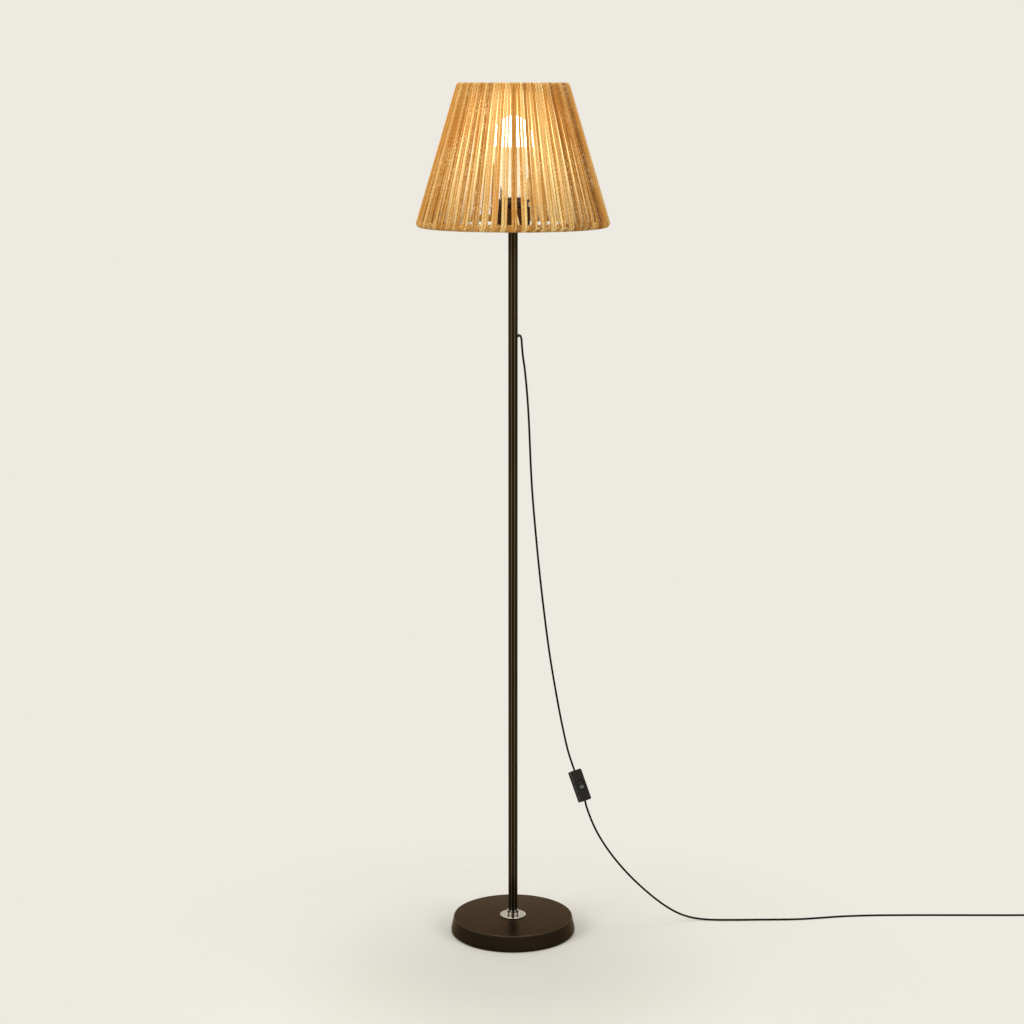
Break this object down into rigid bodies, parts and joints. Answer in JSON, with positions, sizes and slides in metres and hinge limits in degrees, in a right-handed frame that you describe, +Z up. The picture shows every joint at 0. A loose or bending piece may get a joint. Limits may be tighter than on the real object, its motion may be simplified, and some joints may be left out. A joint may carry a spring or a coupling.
{
  "type": "floor lamp",
  "caption": "Floor lamp with a round weighted base, a slim straight pole, a conical cord-wound shade, a bulb and a cord with an inline rocker switch and a flat two-pin plug.",
  "frame": {"origin": "on the floor, under the middle of the round base", "axes": "+Z up along the pole, +X to the right in the picture, where the free cord runs, +Y away from the camera"},
  "size_m": [1.168, 0.327, 1.4854],
  "materials": {
    "bronze": "satin dark bronze paint",
    "cement": "cast cement",
    "felt": "thin felt",
    "steel": "zinc plated",
    "chrome": "bright chrome",
    "brass": "bare",
    "black": "satin black",
    "ceramic": "unglazed",
    "ring": "satin bronze",
    "insulator": "glossy black",
    "white": "semi-gloss white",
    "board": "white solder mask",
    "glowing": "opal diffuser, lit",
    "rattan": "twisted golden tan cord, matt",
    "wire": "dark bronze paint",
    "cord": "smooth dark jacket"
  },
  "bodies": {
    "lamp": {"base_cover": "bronze", "base_weight": "cement", "base_pad": "felt", "base_stud": "steel", "lower_washer": "steel", "lower_nut": "steel", "base_washer": "chrome", "base_nut": "chrome", "pole_lower": "bronze", "pole_middle": "bronze", "pole_upper": "bronze", "foot_socket": "steel", "joint_plug_1": "steel", "joint_socket_1": "steel", "joint_plug_2": "steel", "joint_socket_2": "steel", "top_plug": "steel", "cord_gland": "black", "inner_cord": "cord", "lamp_cup": "bronze", "cup_washer": "steel", "cup_nut": "steel", "holder_base": "black", "holder_skirt": "black", "holder_insert": "ceramic", "screw_shell": "brass", "centre_contact": "brass", "cord_upper": "cord", "cord_lower": "cord", "cord_coil": "cord", "coil_tie": "black", "switch_cover": "black", "switch_base": "black", "switch_screw": "steel", "contact_fixed": "brass", "contact_moving": "brass", "plug_body": "black", "plug_pin_1": "steel", "plug_pin_2": "steel"},
    "shade": {"shade_frame": "wire", "shade_fitter": "wire", "winding_01": "rattan", "winding_02": "rattan", "winding_03": "rattan", "winding_04": "rattan", "winding_05": "rattan", "winding_06": "rattan", "winding_07": "rattan", "winding_08": "rattan", "winding_09": "rattan", "winding_10": "rattan"},
    "shade_ring": {"shade_ring": "ring"},
    "bulb_tip": {"bulb_contact": "steel"},
    "bulb": {"bulb_insulator": "insulator", "bulb_cap": "steel", "bulb_housing": "white", "bulb_board": "board", "bulb_dome": "glowing"},
    "rocker": {"switch_rocker": "black"}
  },
  "joints": [
    {"name": "shade_turn", "type": "hinge", "parent": "lamp", "child": "shade", "pos_m": [0, 0, 1.2828], "axis": [0, 0, 1], "continuous": true},
    {"name": "ring_lift", "type": "slide", "parent": "lamp", "child": "shade_ring", "axis": [0, 0, 1], "range_m": [0, 0.008]},
    {"name": "bulb_lift", "type": "slide", "parent": "lamp", "child": "bulb_tip", "axis": [0, 0, 1], "range_m": [0, 0.0164]},
    {"name": "bulb_turn", "type": "hinge", "parent": "bulb_tip", "child": "bulb", "pos_m": [0, 0, 1.285], "axis": [0, 0, 1], "range_deg": [0, 1620]},
    {"name": "rocker_tilt", "type": "hinge", "parent": "lamp", "child": "rocker", "pos_m": [0.12, 0.04256, 0.25481], "axis": [0.8784, 0.4465, 0.1703], "range_deg": [0, 18]}
  ],
  "couplings": [
    {"joint": "bulb_lift", "follows": "bulb_turn", "m_per_rad": 0.00057773}
  ]
}
